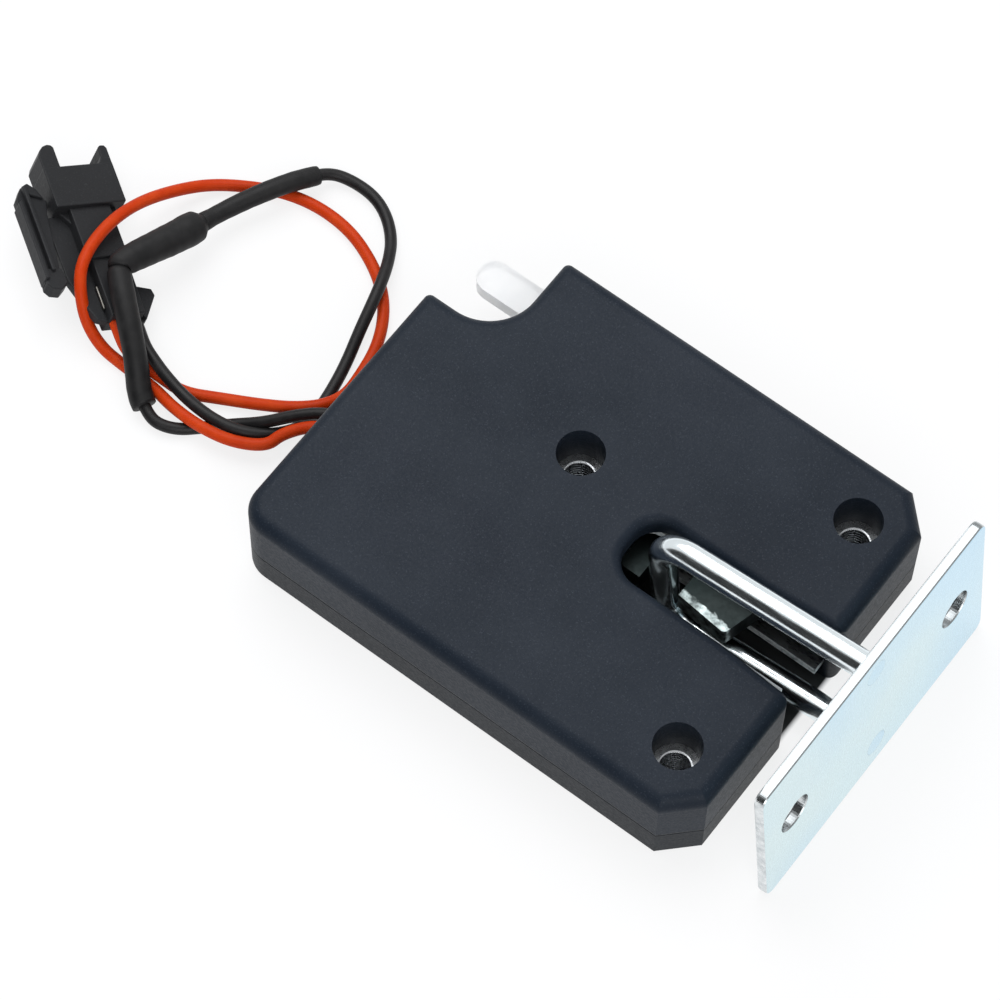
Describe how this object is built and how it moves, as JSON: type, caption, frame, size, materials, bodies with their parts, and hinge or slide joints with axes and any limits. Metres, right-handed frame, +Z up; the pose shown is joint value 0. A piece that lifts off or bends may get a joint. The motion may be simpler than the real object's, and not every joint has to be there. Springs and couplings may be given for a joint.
{
  "type": "solenoid lock",
  "caption": "Flat solenoid lock for a cabinet door: plastic case with a keeper slot and claw, a hand release tab, two leads with a plug, and a plate keeper with a U-shaped rod.",
  "frame": {"origin": "middle of the case underside, half way along its length and width, in the plane that it rests on", "axes": "+X out of the keeper slot towards the keeper, +Z up from the case underside, +Y across the case towards the claw pin"},
  "size_m": [0.1471, 0.058, 0.0284],
  "materials": {
    "case_black": "fine texture, blue-black moulded plastic",
    "zinc": "bluish white zinc plated steel",
    "frame_steel": "zinc plated sheet steel",
    "steel": "turned steel",
    "claw_steel": "blanked steel plate, plated",
    "spring_steel": "bright spring wire",
    "nylon_white": "milky white plastic",
    "bobbin_black": "moulded plastic",
    "copper": "enamelled copper wire",
    "lead_red": "orange-red wire insulation",
    "lead_black": "black wire insulation",
    "sleeve": "black shrink sleeve",
    "plug_black": "black moulded plastic",
    "contact_tin": "tin plated contact"
  },
  "bodies": {
    "lock": {"top_shell": "case_black", "bottom_shell": "case_black", "mounting_bushes": "zinc", "case_screws": "zinc", "frame_base_plate": "frame_steel", "frame_cover_plate": "frame_steel", "claw_pivot_pin": "steel", "pawl_pivot_pin": "steel", "claw_spring": "spring_steel", "solenoid_yoke": "zinc", "coil_bobbin": "bobbin_black", "coil_winding": "copper", "pole_piece": "steel", "red_lead": "lead_red", "black_lead_short": "lead_black", "black_lead_long": "lead_black", "sleeve_low": "sleeve", "sleeve_thick": "sleeve", "sleeve_thin": "sleeve", "plug_housing": "plug_black", "plug_contacts": "contact_tin"},
    "claw": {"claw": "claw_steel"},
    "pawl": {"pawl": "claw_steel", "pawl_drive_post": "steel"},
    "release": {"release_slider": "nylon_white", "plunger": "steel", "plunger_spring": "spring_steel"},
    "keeper": {"keeper_plate": "zinc", "keeper_loop": "zinc"}
  },
  "joints": [
    {"name": "keeper_slide", "type": "slide", "parent": "lock", "child": "keeper", "axis": [1, 0, 0], "range_m": [0, 0.0117]},
    {"name": "claw_hinge", "type": "hinge", "parent": "lock", "child": "claw", "pos_m": [0.02075, 0.0115, 0.008], "axis": [0, 0, 1], "range_deg": [0, 65.2]},
    {"name": "pawl_hinge", "type": "hinge", "parent": "lock", "child": "pawl", "pos_m": [0.0035, 0.0165, 0.008], "axis": [0, 0, 1], "range_deg": [0, 24.2]},
    {"name": "release_slide", "type": "slide", "parent": "lock", "child": "release", "axis": [-1, 0, 0], "range_m": [0, 0.0031]}
  ],
  "couplings": [
    {"joint": "claw_hinge", "follows": "keeper_slide", "rad_per_m": 96.963},
    {"joint": "pawl_hinge", "follows": "keeper_slide", "rad_per_m": 35.802},
    {"joint": "release_slide", "follows": "keeper_slide", "ratio": 0.26068}
  ]
}
